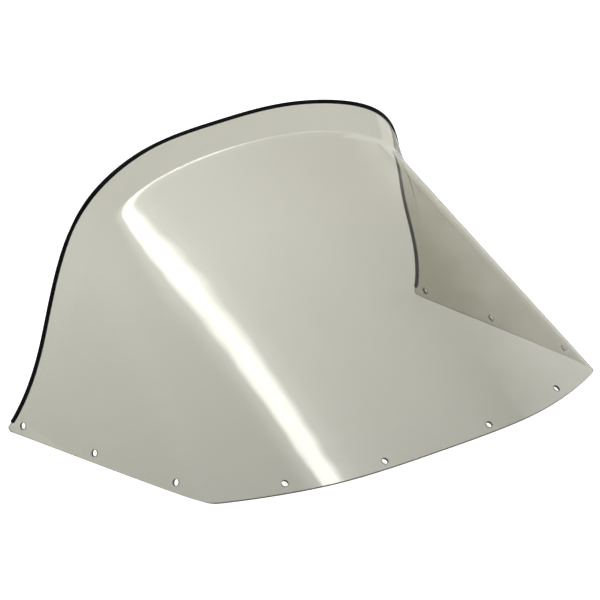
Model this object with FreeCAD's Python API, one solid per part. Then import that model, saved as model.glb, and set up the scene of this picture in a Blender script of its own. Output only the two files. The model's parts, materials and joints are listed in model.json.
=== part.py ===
import FreeCAD, Part
import math
import os

# Bent windshield for a snowmobile or motorcycle cowl, in millimetres.
# One smoked sheet is bent round into a raked front and two upright wings. A black
# channel trim is pressed over its rear and top edge, on a thin bead of adhesive.
# The front faces -Y and +Z is up. The sheet stands on its lower edge, and the origin
# is on the ground at the middle of the footprint.

SHEET_THICKNESS = 3.0
HOLE_DIAMETER = 8.0
# The holes of one side, each as its distance along the lower edge from the rear corner,
# and its inset from that edge to the hole's centre. Both sides are the same.
HOLES = ((19.0, 12.0), (139.0, 11.5), (272.0, 12.0), (422.0, 13.5), (563.0, 10.5))

# The half outline, from the rear lower corner to the front centre. Each station has
# three control points (half width, distance forward, height): on the lower edge, on the
# line where the upper lip bends up, and on the rear and top edge.
STATIONS = [
    ((330, 4, 0), (330, 1, 3), (330, 0, 4)),
    ((324, 172, 0), (316, 45, 50), (315, 28, 57)),
    ((318, 290, 0), (284, 50, 132), (282, 18, 148)),
    ((313, 330, 0), (256, 64, 217), (270, 36, 242)),
    ((300, 339, 0), (204, 42, 253), (219, 32, 288)),
    ((169, 393, 0), (117, 26, 272), (109, 5, 307)),
    ((0, 393, 0), (0, 24, 278), (0, 5, 307)),
]
# Shares of the straight stretch, from the lower edge to the lip's bend, and of the lip,
# from the bend to the top edge, that hold more control points. They keep both parts
# straight and the bend between them tight.
STRAIGHT_SHARES = (0.1, 0.55, 0.88, 0.97)
LIP_SHARES = (0.12,)
SURFACE_DEGREE = 3
SKIN_ROWS = 96  # measured rows round the sheet that each of its two skins passes through
SKIN_COLUMNS = 72  # enough to follow the tight bend

TRIM_WALL = 0.9
TRIM_GRIP = 3.2  # how far the trim's legs reach down the sheet from its edge
TRIM_CLEARANCE = 0.05  # between the trim or the bead and the sheet
TRIM_CROWN_RADIUS = 1.2
CROWN_STEPS = 4
TRIM_END_GAP = 9.0  # the trim stops this far short of each rear corner
TRIM_SECTIONS = 72
BEAD_THICKNESS = 0.5
BEAD_END_GAP = 12.0


def control_column(station, side):
    """The control points of one station, from the lower edge up, on side -1 or +1."""
    lower, bend, upper = (
        FreeCAD.Vector(side * half_width, -forward, height)
        for half_width, forward, height in station
    )
    straight = [lower + (bend - lower) * share for share in STRAIGHT_SHARES]
    lip = [bend + (upper - bend) * share for share in LIP_SHARES]
    return [lower] + straight + [bend] + lip + [upper]


def even_knots(pole_count):
    """The knots and their multiplicities for evenly spread control points."""
    spans = pole_count - SURFACE_DEGREE
    knots = [step / spans for step in range(spans + 1)]
    end = SURFACE_DEGREE + 1
    return knots, [end] + [1] * (spans - 1) + [end]


def middle_surface():
    """The sheet's middle surface: U runs from the -X wing to the +X wing, V runs up."""
    left = [control_column(station, -1) for station in STATIONS]
    right = [control_column(station, 1) for station in STATIONS[-2::-1]]
    poles = left + right
    u_knots, u_multiplicities = even_knots(len(poles))
    v_knots, v_multiplicities = even_knots(len(poles[0]))
    surface = Part.BSplineSurface()
    surface.buildFromPolesMultsKnots(
        poles,
        u_multiplicities,
        v_multiplicities,
        u_knots,
        v_knots,
        False,
        False,
        SURFACE_DEGREE,
        SURFACE_DEGREE,
    )
    return surface


def skin(surface, distance):
    """A surface at a distance from the middle surface, on the outer side where positive."""
    points = []
    for row in range(SKIN_ROWS + 1):
        u = row / SKIN_ROWS
        places = [(u, column / SKIN_COLUMNS) for column in range(SKIN_COLUMNS + 1)]
        points.append([surface.value(*p) + surface.normal(*p) * distance for p in places])
    result = Part.BSplineSurface()
    result.interpolate(points)
    return result


def closed_solid(faces):
    """One solid from faces that meet edge to edge."""
    shell = Part.makeShell(faces)
    shell.sewShape()
    solid = Part.Solid(shell)
    if solid.Volume < 0:
        solid.reverse()
    return solid


def plain_sheet(surface):
    """The bent sheet without its holes, with edges cut square to its faces."""
    outer = skin(surface, SHEET_THICKNESS / 2)
    inner = skin(surface, -SHEET_THICKNESS / 2)
    faces = [outer.toShape(), inner.toShape()]
    for end in (0.0, 1.0):
        faces.append(Part.makeRuledSurface(outer.vIso(end).toShape(), inner.vIso(end).toShape()))
        faces.append(Part.makeRuledSurface(outer.uIso(end).toShape(), inner.uIso(end).toShape()))
    return closed_solid(faces)


def hole_place(surface, distance, inset, side):
    """A hole's centre in the middle of the sheet, and its axis, out of the outer face."""
    edge = surface.vIso(0.0)
    from_left = distance if side < 0 else edge.length() - distance
    u = edge.parameterAtDistance(from_left, 0.0)
    along = edge.tangent(u)[0]
    inward = surface.normal(u, 0.0).cross(along)
    centre = surface.value(u, 0.0) + inward.normalize() * inset
    u, v = surface.parameter(centre)
    return surface.value(u, v), surface.normal(u, v)


def hole_drill(surface, distance, inset, side):
    """A cylinder that clears the sheet at one hole."""
    centre, axis = hole_place(surface, distance, inset, side)
    reach = 2 * SHEET_THICKNESS
    return Part.makeCylinder(HOLE_DIAMETER / 2, 2 * reach, centre - axis * reach, axis)


def windshield_panel(surface):
    """The smoked sheet with its row of fixing holes above the lower edge."""
    drills = [hole_drill(surface, *hole, side) for hole in HOLES for side in (-1, 1)]
    return plain_sheet(surface).cut(drills).Solids[0]


def edge_frames(surface, end_gap):
    """Points along the rear and top edge, each with the sheet's normal and the way out."""
    edge = surface.vIso(1.0)
    run = edge.length() - 2 * end_gap
    frames = []
    for step in range(TRIM_SECTIONS + 1):
        u = edge.parameterAtDistance(end_gap + run * step / TRIM_SECTIONS, 0.0)
        normal = surface.normal(u, 1.0)
        outward = normal.cross(edge.tangent(u)[0])
        frames.append((surface.value(u, 1.0), normal, outward.normalize()))
    return frames


def carried_along(profile, frames):
    """A solid whose section, given as (across, outward) corners, follows the sheet's edge."""
    rails = []
    for across, out in profile:
        rail = Part.BSplineCurve()
        rail.interpolate([point + normal * across + way * out for point, normal, way in frames])
        rails.append(rail.toShape())
    faces = [Part.makeRuledSurface(a, b) for a, b in zip(rails, rails[1:] + rails[:1])]
    for point, normal, way in (frames[0], frames[-1]):
        corners = [point + normal * across + way * out for across, out in profile]
        faces.append(Part.Face(Part.makePolygon(corners + corners[:1])))
    return closed_solid(faces)


def crown_corner(side, half_width, top):
    """The rounded shoulder of the trim's section, as (across, outward) corners going up."""
    angles = [math.pi / 2 * step / CROWN_STEPS for step in range(CROWN_STEPS + 1)]
    inset = half_width - TRIM_CROWN_RADIUS
    base = top - TRIM_CROWN_RADIUS
    return [
        (
            side * (inset + TRIM_CROWN_RADIUS * math.cos(angle)),
            base + TRIM_CROWN_RADIUS * math.sin(angle),
        )
        for angle in angles
    ]


def edge_trim(surface):
    """The U-shaped channel over the rear and top edge."""
    slot = SHEET_THICKNESS / 2 + TRIM_CLEARANCE
    half_width = slot + TRIM_WALL
    top = BEAD_THICKNESS + TRIM_WALL
    profile = [(half_width, -TRIM_GRIP)]
    profile += crown_corner(1, half_width, top)
    profile += reversed(crown_corner(-1, half_width, top))
    profile += [(-half_width, -TRIM_GRIP), (-slot, -TRIM_GRIP), (-slot, BEAD_THICKNESS)]
    profile += [(slot, BEAD_THICKNESS), (slot, -TRIM_GRIP)]
    return carried_along(profile, edge_frames(surface, TRIM_END_GAP))


def trim_adhesive(surface):
    """The bead in the bottom of the channel, between its floor and the sheet's edge."""
    half_width = SHEET_THICKNESS / 2
    low = TRIM_CLEARANCE
    high = BEAD_THICKNESS - TRIM_CLEARANCE
    profile = [(half_width, low), (half_width, high), (-half_width, high), (-half_width, low)]
    return carried_along(profile, edge_frames(surface, BEAD_END_GAP))


def to_ground_centre(pieces):
    """Move all pieces so that the origin is at the middle of the footprint on the ground."""
    box = Part.makeCompound(list(pieces.values())).optimalBoundingBox()
    shift = FreeCAD.Vector(0, -(box.YMin + box.YMax) / 2, -box.ZMin)
    for shape in pieces.values():
        shape.translate(shift)


def main():
    os.makedirs("parts", exist_ok=True)
    surface = middle_surface()
    pieces = {
        "windshield_panel": windshield_panel(surface),
        "edge_trim": edge_trim(surface),
        "trim_adhesive": trim_adhesive(surface),
    }
    to_ground_centre(pieces)
    for node, shape in pieces.items():
        shape.exportStep(f"parts/{node}.step")


main()
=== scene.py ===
import json
import math

import bpy
import numpy as np
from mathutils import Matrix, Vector


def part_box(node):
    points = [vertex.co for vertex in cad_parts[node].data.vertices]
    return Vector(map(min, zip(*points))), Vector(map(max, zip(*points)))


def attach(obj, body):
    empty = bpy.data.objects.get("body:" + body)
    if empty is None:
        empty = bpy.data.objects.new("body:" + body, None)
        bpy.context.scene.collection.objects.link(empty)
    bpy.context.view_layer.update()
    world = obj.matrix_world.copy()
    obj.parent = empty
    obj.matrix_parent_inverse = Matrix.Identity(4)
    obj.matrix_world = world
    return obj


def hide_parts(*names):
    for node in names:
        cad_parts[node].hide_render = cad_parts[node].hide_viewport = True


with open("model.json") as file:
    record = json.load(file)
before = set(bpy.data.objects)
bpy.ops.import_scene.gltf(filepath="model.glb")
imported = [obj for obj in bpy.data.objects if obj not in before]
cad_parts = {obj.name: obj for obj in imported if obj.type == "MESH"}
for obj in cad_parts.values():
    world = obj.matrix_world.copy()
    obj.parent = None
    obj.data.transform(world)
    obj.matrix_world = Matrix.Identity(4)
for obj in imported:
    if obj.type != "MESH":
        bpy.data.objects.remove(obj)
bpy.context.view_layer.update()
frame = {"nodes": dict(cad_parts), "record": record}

MM = 0.001
panel_low, panel_high = (np.array(corner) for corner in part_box("windshield_panel"))
record = frame["record"]

# ---------------------------------------------------------------- camera
VIEW_AZIMUTH = math.radians(-43.0)
VIEW_ELEVATION = math.radians(20.9)
VIEW_DISTANCE = 10.99
FOCAL_LENGTH = 550.0  # mm
SENSOR_WIDTH = 36.0  # mm
AIM_RIGHT = 0.1014  # from the middle of the sheet's rear corners to the middle of the view
AIM_UP = 0.0743

to_camera = Vector(
    (
        math.sin(VIEW_AZIMUTH) * math.cos(VIEW_ELEVATION),
        -math.cos(VIEW_AZIMUTH) * math.cos(VIEW_ELEVATION),
        math.sin(VIEW_ELEVATION),
    )
)
camera_right = Vector((math.cos(VIEW_AZIMUTH), math.sin(VIEW_AZIMUTH), 0.0))
camera_up = to_camera.cross(camera_right)
rear_middle = Vector((0.0, panel_high[1], panel_low[2]))
aim = rear_middle + AIM_RIGHT * camera_right + AIM_UP * camera_up

camera_data = bpy.data.cameras.new("camera")
camera_data.lens = FOCAL_LENGTH
camera_data.sensor_width = SENSOR_WIDTH
camera_data.clip_start = 0.1
camera_data.clip_end = 200.0
camera = bpy.data.objects.new("camera", camera_data)
camera.location = aim + to_camera * VIEW_DISTANCE
camera.rotation_euler = to_camera.to_track_quat("Z", "Y").to_euler()
bpy.context.scene.collection.objects.link(camera)
bpy.context.scene.camera = camera

# ---------------------------------------------------------------- the bent sheet
# Control points of the sheet's middle surface in millimetres, from the rear lower
# corner to the front centre: on the lower edge, on the lip's bend and on the top edge,
# each as (half width, distance forward, height).
STATIONS = (
    ((330, 4, 0), (330, 1, 3), (330, 0, 4)),
    ((324, 172, 0), (316, 45, 50), (315, 28, 57)),
    ((318, 290, 0), (284, 50, 132), (282, 18, 148)),
    ((313, 330, 0), (256, 64, 217), (270, 36, 242)),
    ((300, 339, 0), (204, 42, 253), (219, 32, 288)),
    ((169, 393, 0), (117, 26, 272), (109, 5, 307)),
    ((0, 393, 0), (0, 24, 278), (0, 5, 307)),
)
STRAIGHT_SHARES = (0.1, 0.55, 0.88, 0.97)  # more control points, from lower edge to bend
LIP_SHARES = (0.12,)  # and from bend to top edge
HALF_THICKNESS = 1.5 * MM
EDGE_ROUND = 0.4 * MM  # broken corners of the sawn and drilled edges
ARC = [math.pi / 2 * step / 3 for step in (1, 2, 3)]  # where such a corner has points
GRID_U = 320  # cells round the sheet
GRID_V = 108  # cells up it
LOW_EDGE_SAMPLES = 1001
HOLE_CLEARANCE = 1.6 * MM  # from a hole's rim to the nearest grid point left in place
HOLE_REACH = 10 * MM  # along a hole's axis, short of the other parts of the sheet
HOLE_SIDES = 48
NEWTON_STEPS = 12
NUDGE = 1e-4  # step in u and v for slopes


def control_net():
    """The control points, 13 round the sheet by 8 up it, in metres."""
    half = np.array(STATIONS, float) * MM
    half[..., 1] *= -1
    lower, bend, upper = half[:, 0], half[:, 1], half[:, 2]
    rows = [lower] + [lower + (bend - lower) * share for share in STRAIGHT_SHARES]
    rows += [bend] + [bend + (upper - bend) * share for share in LIP_SHARES]
    net = np.stack(rows + [upper], axis=1)
    mirrored = net * (-1, 1, 1)
    return np.concatenate([mirrored, net[-2::-1]])


def basis(count, t):
    """Values of the cubic basis functions of count clamped control points, a row per t."""
    knots = np.concatenate([np.zeros(3), np.linspace(0, 1, count - 2), np.ones(3)])
    span = np.clip(np.searchsorted(knots, t, side="right") - 1, 3, count - 1)
    values = np.zeros((len(t), len(knots) - 1))
    values[np.arange(len(t)), span] = 1.0
    for degree in (1, 2, 3):
        higher = np.zeros((len(t), values.shape[1] - 1))
        for i in range(higher.shape[1]):
            rise = knots[i + degree] - knots[i]
            fall = knots[i + degree + 1] - knots[i + 1]
            if rise > 0:
                higher[:, i] += (t - knots[i]) / rise * values[:, i]
            if fall > 0:
                higher[:, i] += (knots[i + degree + 1] - t) / fall * values[:, i + 1]
        values = higher
    return values


def unit(vectors):
    return vectors / np.linalg.norm(vectors, axis=-1, keepdims=True)


def middle(u, v):
    """Points of the sheet's middle surface, where the CAD has it."""
    weights = basis(NET.shape[0], u), basis(NET.shape[1], v)
    return np.einsum("ni,nj,ijk->nk", *weights, NET)


def slopes(u, v):
    """How the middle surface moves with u, which runs round it, and with v, which runs up."""
    u0, u1 = np.clip(u - NUDGE, 0, 1), np.clip(u + NUDGE, 0, 1)
    v0, v1 = np.clip(v - NUDGE, 0, 1), np.clip(v + NUDGE, 0, 1)
    by_u = (middle(u1, v) - middle(u0, v)) / (u1 - u0)[:, None]
    by_v = (middle(u, v1) - middle(u, v0)) / (v1 - v0)[:, None]
    return by_u, by_v


def facing(u, v):
    """The sheet's unit normals, out of the outer face."""
    return unit(np.cross(*slopes(u, v)))


NET = control_net()
around = np.linspace(0, 1, LOW_EDGE_SAMPLES)
offset = HALF_THICKNESS * facing(around, 0 * around)
low_edge = middle(around, 0 * around)
lowest = np.minimum(low_edge + offset, low_edge - offset).min(axis=0)
NET += (panel_low - lowest) * (0, 1, 1)  # to stand where the CAD's sheet stands


class Shell:
    """A closed mesh under construction, with a shading normal for every point."""

    def __init__(self):
        self.points = []
        self.normals = []
        self.faces = []
        self.slots = []
        self.count = 0

    def add(self, points, normals):
        numbers = np.arange(self.count, self.count + len(points))
        self.points.append(points)
        self.normals.append(normals)
        self.count += len(points)
        return numbers

    def face(self, corners, slot=0, flip=False):
        self.faces.append([int(c) for c in (corners[::-1] if flip else corners)])
        self.slots.append(slot)

    def band(self, upper, lower, slot, flip=False):
        """Quads between two closed loops. The loops run so that the outside is on top."""
        for k in range(len(upper)):
            n = (k + 1) % len(upper)
            self.face([upper[k], lower[k], lower[n], upper[n]], slot, flip)

    def finish(self, name, materials):
        """The object, without the points that no face uses."""
        points, normals = np.concatenate(self.points), np.concatenate(self.normals)
        used = np.unique(np.concatenate([np.array(f) for f in self.faces]))
        renumber = np.full(len(points), -1)
        renumber[used] = np.arange(len(used))
        mesh = bpy.data.meshes.new(name)
        mesh.from_pydata(
            points[used].tolist(), [], [renumber[f].tolist() for f in self.faces]
        )
        mesh.polygons.foreach_set("material_index", self.slots)
        mesh.polygons.foreach_set("use_smooth", [True] * len(self.faces))
        mesh.update()
        mesh.normals_split_custom_set_from_vertices(normals[used].tolist())
        for material in materials:
            mesh.materials.append(material)
        piece = bpy.data.objects.new(name, mesh)
        bpy.context.scene.collection.objects.link(piece)
        return piece


def skin_grid():
    """Parameters of the grid, whose border stays EDGE_ROUND inside the sheet's edges."""
    u, share = np.linspace(0, 1, GRID_U + 1), np.linspace(0, 1, GRID_V + 1)
    low = EDGE_ROUND / np.linalg.norm(slopes(u, 0 * u)[1], axis=1)
    high = 1 - EDGE_ROUND / np.linalg.norm(slopes(u, 0 * u + 1)[1], axis=1)
    v = low[:, None] + (high - low)[:, None] * share
    inset = EDGE_ROUND / np.linalg.norm(slopes(0 * share, share)[0], axis=1)
    return inset + (1 - 2 * inset) * u[:, None], v


def border_of(i0, i1, j0, j1):
    """Grid places round a block, starting at its first corner, u first."""
    along = [(i, j0) for i in range(i0, i1)] + [(i1, j) for j in range(j0, j1)]
    back = [(i, j1) for i in range(i1, i0, -1)] + [(i0, j) for j in range(j1, j0, -1)]
    return along + back


def hole_ring(centre, across, offset, radius, start):
    """Parameters of the points where a skin meets a cylinder, and their angles."""
    angles = np.linspace(-math.pi, math.pi, HOLE_SIDES, endpoint=False)
    target = radius * np.stack([np.cos(angles), np.sin(angles)], 1)
    u, v = np.full(HOLE_SIDES, start[0]), np.full(HOLE_SIDES, start[1])
    for _ in range(NEWTON_STEPS):
        away = middle(u, v) + offset * facing(u, v) - centre
        miss = target - away @ across.T
        by_u, by_v = (slope @ across.T for slope in slopes(u, v))
        size = by_u[:, 0] * by_v[:, 1] - by_u[:, 1] * by_v[:, 0]
        u += (miss[:, 0] * by_v[:, 1] - miss[:, 1] * by_v[:, 0]) / size
        v += (miss[:, 1] * by_u[:, 0] - miss[:, 0] * by_u[:, 1]) / size
    return u, v, angles


def stitch(shell, ring, ring_angles, border, border_angles, flip):
    """Triangles between a ring and the border round it, both in order of their angles."""
    i = j = 0
    while i < len(ring) or j < len(border):
        next_ring = ring_angles[(i + 1) % len(ring)] + 2 * math.pi * ((i + 1) // len(ring))
        next_border = border_angles[(j + 1) % len(border)]
        next_border += 2 * math.pi * ((j + 1) // len(border))
        here, there = ring[i % len(ring)], border[j % len(border)]
        if j >= len(border) or (i < len(ring) and next_ring <= next_border):
            shell.face([here, there, ring[(i + 1) % len(ring)]], 0, flip)
            i += 1
        else:
            shell.face([here, there, border[(j + 1) % len(border)]], 0, flip)
            j += 1


def build_panel(materials):
    """The 3 mm sheet: two skins, rounded edges all round and ten drilled holes."""
    shell = Shell()
    grid_u, grid_v = skin_grid()
    shape = grid_u.shape
    mid = middle(grid_u.ravel(), grid_v.ravel())
    normal = facing(grid_u.ravel(), grid_v.ravel())
    skins = {
        side: shell.add(mid + side * HALF_THICKNESS * normal, side * normal).reshape(shape)
        for side in (1, -1)
    }
    mid = mid.reshape(*shape, 3)
    cut = np.zeros((GRID_U, GRID_V), bool)
    for mount in record["mounts"]:
        centre, axis = np.array(mount["pos_m"]), np.array(mount["axis"])
        radius = mount["dims"]["r_mm"] * MM
        level = unit(np.cross((0.0, 0.0, 1.0), axis))
        across = np.stack([level, np.cross(axis, level)])
        away = mid - centre
        height = away @ axis
        distance = np.linalg.norm(away - height[..., None] * axis, axis=-1)
        near = (distance < radius + HOLE_CLEARANCE) & (abs(height) < HOLE_REACH)
        i_near, j_near = np.nonzero(near)
        i0, i1, j0, j1 = i_near.min() - 1, i_near.max() + 1, j_near.min() - 1, j_near.max() + 1
        cut[i0:i1, j0:j1] = True
        border = border_of(i0, i1, j0, j1)
        flat = np.array([away[place] @ across.T for place in border])
        border_angles = np.arctan2(flat[:, 1], flat[:, 0])
        order = np.argsort(border_angles)
        closest = np.unravel_index(np.argmin(distance + abs(height)), shape)
        start = grid_u[closest], grid_v[closest]
        walls = []
        for side in (1, -1):
            offset = side * HALF_THICKNESS
            u, v, angles = hole_ring(centre, across, offset, radius + EDGE_ROUND, start)
            ring_normal = side * facing(u, v)
            points = middle(u, v) + HALF_THICKNESS * ring_normal
            ring = shell.add(points, ring_normal)
            places = [skins[side][border[k]] for k in order]
            stitch(shell, ring, angles, places, border_angles[order], side < 0)
            radial = np.outer(np.cos(angles), across[0]) + np.outer(np.sin(angles), across[1])
            top = (points - centre) @ (side * axis)
            loops = [ring]
            for turn in ARC:
                out = radius + EDGE_ROUND * (1 - math.sin(turn))
                up = top - EDGE_ROUND * (1 - math.cos(turn))
                loops.append(
                    shell.add(
                        centre + radial * out + np.outer(up, side * axis),
                        side * axis * math.cos(turn) - radial * math.sin(turn),
                    )
                )
            for upper, lower in zip(loops, loops[1:]):
                shell.band(upper, lower, 1, side > 0)
            walls.append(loops[-1])
        shell.band(walls[0], walls[1], 1, True)
    for i in range(GRID_U):
        for j in range(GRID_V):
            if not cut[i, j]:
                for side, skin in skins.items():
                    corners = [skin[i, j], skin[i + 1, j], skin[i + 1, j + 1], skin[i, j + 1]]
                    shell.face(corners, 0, side < 0)
    add_rim(shell, skins, grid_u, grid_v)
    return shell.finish("smoked_windshield_panel", materials)


def add_rim(shell, skins, grid_u, grid_v):
    """The sheet's cut edge, with its corners broken, between the borders of the skins."""
    border = border_of(0, GRID_U, 0, GRID_V)
    u, v = np.array([(grid_u[p], grid_v[p]) for p in border]).T
    i, j = np.array(border).T
    u = np.where(i == 0, 0.0, np.where(i == GRID_U, 1.0, u))
    v = np.where(j == 0, 0.0, np.where(j == GRID_V, 1.0, v))
    edge, normal = middle(u, v), facing(u, v)
    ahead = unit(np.roll(edge, -1, 0) - edge)
    behind = np.roll(ahead, 1, 0)
    out = unit(np.cross(ahead, normal)) + unit(np.cross(behind, normal))
    out *= 2 / np.sum(out * out, axis=1, keepdims=True)
    walls = []
    for side in (1, -1):
        loops = [np.array([skins[side][p] for p in border])]
        for turn in ARC:
            reach = EDGE_ROUND * (math.sin(turn) - 1)
            up = HALF_THICKNESS - EDGE_ROUND * (1 - math.cos(turn))
            lean = side * normal * math.cos(turn) + unit(out) * math.sin(turn)
            loops.append(shell.add(edge + out * reach + side * normal * up, lean))
        for upper, lower in zip(loops, loops[1:]):
            shell.band(upper, lower, 1, side < 0)
        walls.append(loops[-1])
    shell.band(walls[0], walls[1], 1)


# ---------------------------------------------------------------- the edge trim
TRIM_SLOT = 1.55 * MM  # half the width of the channel
TRIM_HALF_WIDTH = 2.45 * MM
TRIM_GRIP = 3.2 * MM  # how far the legs reach down the sheet
TRIM_FLOOR = 0.5 * MM  # the channel's bottom, above the sheet's edge
TRIM_TOP = 1.4 * MM
TRIM_CROWN = 1.2 * MM  # outer corner radius
TRIM_FOOT = 0.35 * MM  # radius at the legs' ends
TRIM_ROOT = 0.2 * MM  # radius in the channel's corners
TRIM_END_GAP = 9.0 * MM  # from the sheet's rear lower corners
TRIM_SECTIONS = 260
TOP_EDGE_SAMPLES = 8001


def arc(across, out, radius, first, last, steps, hollow=False):
    """Corner points of the trim's section as (across, outward, normal across, outward)."""
    rows = []
    for k in range(steps + 1):
        angle = math.radians(first + (last - first) * k / steps)
        x, y = math.cos(angle), math.sin(angle)
        facing_out = -1 if hollow else 1
        rows.append((across + radius * x, out + radius * y, facing_out * x, facing_out * y))
    return rows


def trim_section():
    """The U channel's section, counter-clockwise, from the foot of its outer leg up."""
    crown, foot, root = TRIM_CROWN, TRIM_FOOT, TRIM_ROOT
    side, low = TRIM_HALF_WIDTH, -TRIM_GRIP
    right = arc(side - foot, low + foot, foot, -90, 0, 4)
    right += arc(side - crown, TRIM_TOP - crown, crown, 0, 90, 8)
    inner = arc(TRIM_SLOT - root, TRIM_FLOOR - root, root, 90, 0, 3, hollow=True)
    inner += arc(TRIM_SLOT + foot, low + foot, foot, 180, 270, 4)
    left = [(-a, b, -c, d) for a, b, c, d in reversed(right)]
    hollow = [(-a, b, -c, d) for a, b, c, d in reversed(inner)]
    return np.array(right + left + hollow + inner)


def build_trim(materials):
    """The black channel that follows the rear and top edge."""
    fine = np.linspace(0, 1, TOP_EDGE_SAMPLES)
    edge = middle(fine, np.ones_like(fine))
    run = np.concatenate([[0], np.cumsum(np.linalg.norm(np.diff(edge, axis=0), axis=1))])
    stops = np.linspace(TRIM_END_GAP, run[-1] - TRIM_END_GAP, TRIM_SECTIONS + 1)
    u = np.interp(stops, run, fine)
    ones = np.ones_like(u)
    point, normal, along = middle(u, ones), facing(u, ones), unit(slopes(u, ones)[0])
    way = unit(np.cross(normal, along))
    shell = Shell()
    rings = []
    section = trim_section()
    for p, n, w in zip(point, normal, way):
        rings.append(
            shell.add(
                p + np.outer(section[:, 0], n) + np.outer(section[:, 1], w),
                np.outer(section[:, 2], n) + np.outer(section[:, 3], w),
            )
        )
    for here, there in zip(rings, rings[1:]):
        shell.band(here, there, 0)
    for ring, p, a in ((rings[0], point[0], -along[0]), (rings[-1], point[-1], along[-1])):
        shell.face(list(ring), 0, np.dot(a, along[0]) > 0)
    return shell.finish("channel_edge_trim", materials)


# ---------------------------------------------------------------- materials
SMOKE = (0.605, 0.597, 0.52)  # passed by the sheet's 3 mm
ABSORPTION_HEADROOM = 1.25  # keeps the parts of the absorption colour above zero
POLYCARBONATE_IOR = 1.585
EDGE_COLOUR = (0.62, 0.62, 0.58, 1)
VINYL_DARK = (0.0015, 0.0015, 0.0018)
VINYL_LIGHT = (0.004, 0.004, 0.0044)
BUTYL_DARK = (0.012, 0.012, 0.011)
BUTYL_LIGHT = (0.03, 0.03, 0.028)
# the paper's darkest and lightest colour: painted shade in front of the part, painted light
# behind it
PAPER_DARK = (0.51, 0.51, 0.51)
PAPER_LIGHT = (0.88, 0.88, 0.88)
RIPPLE_HEIGHT = 0.22 * MM
SAW_MARK_HEIGHT = 0.08 * MM
VINYL_GRAIN_HEIGHT = 0.03 * MM
BUTYL_LUMP_HEIGHT = 0.06 * MM
FLOOR_LIFT = 0.52  # light added to the paper where the camera looks straight at it
FLOOR_FADE = 0.5  # m before and behind the middle, over which painted light makes the paper brighter and painted shade darker


def new_material(name):
    """An empty node material and its tree, with an output and a Principled shader."""
    material = bpy.data.materials.new(name)
    material.use_nodes = True
    tree = material.node_tree
    tree.nodes.clear()
    output = tree.nodes.new("ShaderNodeOutputMaterial")
    shader = tree.nodes.new("ShaderNodeBsdfPrincipled")
    tree.links.new(shader.outputs[0], output.inputs["Surface"])
    return material, tree, shader, output


def place(tree, stretch=(1, 1, 1)):
    """Object coordinates, stretched."""
    coordinates = tree.nodes.new("ShaderNodeTexCoord")
    mapping = tree.nodes.new("ShaderNodeMapping")
    mapping.inputs["Scale"].default_value = stretch
    tree.links.new(coordinates.outputs["Object"], mapping.inputs["Vector"])
    return mapping.outputs[0]


def noise(tree, scale, detail, stretch=(1, 1, 1)):
    """Cloudy noise from 0 to 1, with about scale lumps in a metre."""
    node = tree.nodes.new("ShaderNodeTexNoise")
    node.inputs["Scale"].default_value = scale
    node.inputs["Detail"].default_value = detail
    tree.links.new(place(tree, stretch), node.inputs["Vector"])
    return node.outputs["Fac"]


def remap(tree, value, low, high, to_low, to_high, curve="LINEAR"):
    """The value's range from low to high, spread over the range from to_low to to_high."""
    node = tree.nodes.new("ShaderNodeMapRange")
    node.interpolation_type = curve
    node.inputs["From Min"].default_value = low
    node.inputs["From Max"].default_value = high
    node.inputs["To Min"].default_value = to_low
    node.inputs["To Max"].default_value = to_high
    tree.links.new(value, node.inputs["Value"])
    return node.outputs[0]


def math_node(tree, operation, first, second):
    node = tree.nodes.new("ShaderNodeMath")
    node.operation = operation
    for socket, value in zip(node.inputs, (first, second)):
        if isinstance(value, float):
            socket.default_value = value
        else:
            tree.links.new(value, socket)
    return node.outputs[0]


def bump(tree, height, distance):
    """Normals for a surface whose height varies by the distance."""
    node = tree.nodes.new("ShaderNodeBump")
    node.inputs["Distance"].default_value = distance
    tree.links.new(height, node.inputs["Height"])
    return node.outputs[0]


def shades(tree, value, dark, light, start=0.0, end=1.0):
    """A colour that goes from dark to light as the value goes from start to end."""
    node = tree.nodes.new("ShaderNodeValToRGB")
    stops = node.color_ramp.elements
    for stop, position, colour in zip(stops, (start, end), (dark, light)):
        stop.position = position
        stop.color = (*colour, 1)
    tree.links.new(value, node.inputs[0])
    return node.outputs[0]


def absorb(tree, output, passed):
    """Smoke tint: the share of red, green and blue that 3 mm of the sheet lets through."""
    volume = tree.nodes.new("ShaderNodeVolumeAbsorption")
    loss = [-math.log(share) / (2 * HALF_THICKNESS) for share in passed]
    density = ABSORPTION_HEADROOM * max(loss)
    volume.inputs["Density"].default_value = density
    volume.inputs["Color"].default_value = [1 - part / density for part in loss] + [1]
    tree.links.new(volume.outputs[0], output.inputs["Volume"])


def smoked_polycarbonate():
    """Clear smoked sheet: slow ripples from bending, fine wiping marks, a hint of haze."""
    material, tree, shader, output = new_material("smoked_polycarbonate")
    shader.inputs["Base Color"].default_value = (1, 1, 1, 1)
    shader.inputs["Transmission Weight"].default_value = 1.0
    shader.inputs["IOR"].default_value = POLYCARBONATE_IOR
    marks = remap(tree, noise(tree, 90.0, 4.0, (1, 1, 9)), 0.35, 0.75, 0.0, 0.008)
    haze = remap(tree, noise(tree, 7.0, 3.0), 0.3, 0.7, 0.004, 0.012)
    tree.links.new(math_node(tree, "ADD", marks, haze), shader.inputs["Roughness"])
    ripple = bump(tree, noise(tree, 16.0, 1.0), RIPPLE_HEIGHT)
    tree.links.new(ripple, shader.inputs["Normal"])
    absorb(tree, output, SMOKE)
    return material


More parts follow.
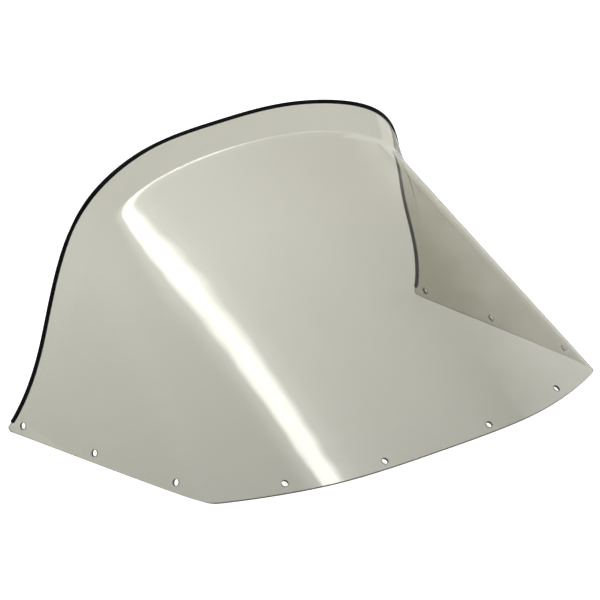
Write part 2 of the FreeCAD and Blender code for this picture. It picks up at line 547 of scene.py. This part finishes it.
def sawn_edge():
    """The sheet's routed and drilled edges: frosted, with fine tool marks."""
    material, tree, shader, output = new_material("routed_sheet_edge")
    shader.inputs["Base Color"].default_value = EDGE_COLOUR
    shader.inputs["Transmission Weight"].default_value = 1.0
    shader.inputs["IOR"].default_value = POLYCARBONATE_IOR
    marks = noise(tree, 420.0, 3.0, (1, 1, 0.2))
    tree.links.new(remap(tree, marks, 0.3, 0.7, 0.3, 0.55), shader.inputs["Roughness"])
    tree.links.new(bump(tree, marks, SAW_MARK_HEIGHT), shader.inputs["Normal"])
    absorb(tree, output, SMOKE)
    return material


def black_vinyl():
    """Extruded vinyl: near black, satin, with a fine grain and lighter, scuffed patches."""
    material, tree, shader, _ = new_material("black_vinyl_trim")
    grain = noise(tree, 900.0, 2.0)
    scuffs = noise(tree, 60.0, 3.0)
    colour = shades(tree, scuffs, VINYL_DARK, VINYL_LIGHT, 0.35, 0.7)
    tree.links.new(colour, shader.inputs["Base Color"])
    tree.links.new(remap(tree, grain, 0.3, 0.7, 0.38, 0.52), shader.inputs["Roughness"])
    shader.inputs["Specular IOR Level"].default_value = 0.06
    tree.links.new(bump(tree, grain, VINYL_GRAIN_HEIGHT), shader.inputs["Normal"])
    return material


def adhesive_bead():
    """Dull butyl adhesive, slightly mottled."""
    material, tree, shader, _ = new_material("butyl_adhesive")
    lumps = noise(tree, 350.0, 3.0)
    colour = shades(tree, lumps, BUTYL_DARK, BUTYL_LIGHT)
    tree.links.new(colour, shader.inputs["Base Color"])
    tree.links.new(remap(tree, lumps, 0.3, 0.7, 0.7, 0.9), shader.inputs["Roughness"])
    tree.links.new(bump(tree, lumps, BUTYL_LUMP_HEIGHT), shader.inputs["Normal"])
    return material


def studio_floor():
    """Seamless pale paper with painted shade in front of the middle and painted light behind it,
    burnt out to white where the camera looks straight at it.
    """
    material, tree, shader, output = new_material("white_paper_floor")
    fibre = remap(tree, noise(tree, 40.0, 4.0), 0.3, 0.7, -0.02, 0.02)
    axes = tree.nodes.new("ShaderNodeSeparateXYZ")
    tree.links.new(place(tree), axes.inputs[0])
    # painted shade and light: the paper's colour darkens towards the front and lightens behind,
    # standing in for how the light falls on it
    painted_light_behind = remap(tree, axes.outputs["Y"], -FLOOR_FADE, FLOOR_FADE, 0.0, 1.0)
    shade = math_node(tree, "ADD", painted_light_behind, fibre)
    colour = shades(tree, shade, PAPER_DARK, PAPER_LIGHT)
    tree.links.new(colour, shader.inputs["Base Color"])
    shader.inputs["Roughness"].default_value = 1.0
    shader.inputs["Specular IOR Level"].default_value = 0.0
    glow = tree.nodes.new("ShaderNodeEmission")
    seen = tree.nodes.new("ShaderNodeLightPath").outputs["Is Camera Ray"]
    tree.links.new(math_node(tree, "MULTIPLY", seen, FLOOR_LIFT), glow.inputs["Strength"])
    both = tree.nodes.new("ShaderNodeAddShader")
    tree.links.new(shader.outputs[0], both.inputs[0])
    tree.links.new(glow.outputs[0], both.inputs[1])
    tree.links.new(both.outputs[0], output.inputs["Surface"])
    return material


# ---------------------------------------------------------------- pieces
panel = build_panel([smoked_polycarbonate(), sawn_edge()])
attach(panel, "root")
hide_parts("windshield_panel")
# The lamps' light goes through the sheet, so it casts no dark shadow on the paper.
panel.visible_shadow = False
panel.visible_diffuse = False

trim = build_trim([black_vinyl()])
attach(trim, "root")
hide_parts("edge_trim")

bead = frame["nodes"]["trim_adhesive"]
bead.data.materials.clear()
bead.data.materials.append(adhesive_bead())

FLOOR_HALF = 40.0  # m, past the horizon of every view
floor_mesh = bpy.data.meshes.new("paper_floor")
floor_mesh.from_pydata(
    [(x * FLOOR_HALF, y * FLOOR_HALF, 0.0) for x, y in ((-1, -1), (1, -1), (1, 1), (-1, 1))],
    [],
    [(0, 1, 2, 3)],
)
floor_mesh.materials.append(studio_floor())
floor = bpy.data.objects.new("paper_floor", floor_mesh)
bpy.context.scene.collection.objects.link(floor)


# ---------------------------------------------------------------- light
WHITE = 1.1  # the surroundings, as the camera and the paper see them
SHEEN = 0.55  # the same surroundings, as the sheet mirrors and passes them
CARD = 1.05


def dot_with(tree, direction, vector):
    node = tree.nodes.new("ShaderNodeVectorMath")
    node.operation = "DOT_PRODUCT"
    tree.links.new(direction, node.inputs[0])
    node.inputs[1].default_value = vector
    return node.outputs["Value"]


def heading(azimuth, elevation):
    """The direction at an azimuth, from the front towards the +X wing, and an elevation."""
    a, e = math.radians(azimuth), math.radians(elevation)
    return Vector((math.sin(a) * math.cos(e), -math.cos(a) * math.cos(e), math.sin(e)))


def lamp(tree, direction, corners, softness):
    """A far flat light with straight edges between the given headings: 1 inside, 0 outside.

    softness holds, for each edge, the sine of the angle over which it fades each way."""
    points = [heading(*corner) for corner in corners]
    inside = sum(points, Vector())
    share = 1.0
    for first, second, soft in zip(points, points[1:] + points[:1], softness):
        wall = first.cross(second).normalized()
        if wall.dot(inside) < 0:
            wall = -wall
        height = dot_with(tree, direction, wall)
        edge = remap(tree, height, -soft, soft, 0.0, 1.0, "SMOOTHSTEP")
        share = math_node(tree, "MULTIPLY", edge, share)
    return share


# Each as its brightness, the headings of its corners (azimuth and elevation in degrees)
# and the softness of its edges.
LAMPS = (
    # the long softbox that shines in the near fold and along the lip's bend
    (
        6.6,
        ((50.2, 36.7), (53.2, 36.1), (67.8, 59.7), (60.2, 61.3)),
        (0.008, 0.022, 0.015, 0.011),
    ),
    # the halo close round it
    (
        1.6,
        ((46.8, 34.5), (56.6, 33.8), (73.5, 61.0), (54.6, 62.8)),
        (0.03, 0.045, 0.03, 0.045),
    ),
    # its broad glow towards the front
    (
        1.2,
        ((56.1, 40.8), (59.9, 39.1), (87.5, 52.8), (70.1, 62.6)),
        (0.1, 0.14, 0.1, 0.08),
    ),
    # a large pale card in two parts, mirrored along the far fold
    (
        CARD,
        ((57.0, 36.2), (82.0, 41.0), (95.3, 26.3), (95.3, -30.0), (62.0, -30.0)),
        (0.01, 0.018, 0.03, 0.05, 0.03),
    ),
    (
        CARD,
        ((95.3, 26.3), (135.0, 18.0), (150.0, -30.0), (95.3, -30.0)),
        (0.04, 0.05, 0.05, 0.03),
    ),
)
world = bpy.data.worlds.new("studio")
bpy.context.scene.world = world
world.use_nodes = True
tree = world.node_tree
background = tree.nodes["Background"]
background.inputs["Color"].default_value = (1, 1, 1, 1)
way = tree.nodes.new("ShaderNodeTexCoord").outputs["Generated"]
path = tree.nodes.new("ShaderNodeLightPath")
mirrored = SHEEN - WHITE
for brightness, corners, softness in LAMPS:
    light = math_node(tree, "MULTIPLY", lamp(tree, way, corners, softness), brightness)
    mirrored = math_node(tree, "ADD", light, mirrored)
plain = math_node(tree, "MAXIMUM", path.outputs["Is Camera Ray"], path.outputs["Is Diffuse Ray"])
through_sheet = math_node(tree, "SUBTRACT", 1.0, plain)
extra = math_node(tree, "MULTIPLY", mirrored, through_sheet)
strength = math_node(tree, "ADD", extra, WHITE)
tree.links.new(strength, background.inputs["Strength"])

bpy.context.scene.view_settings.view_transform = "Standard"

bpy.context.view_layer.update()
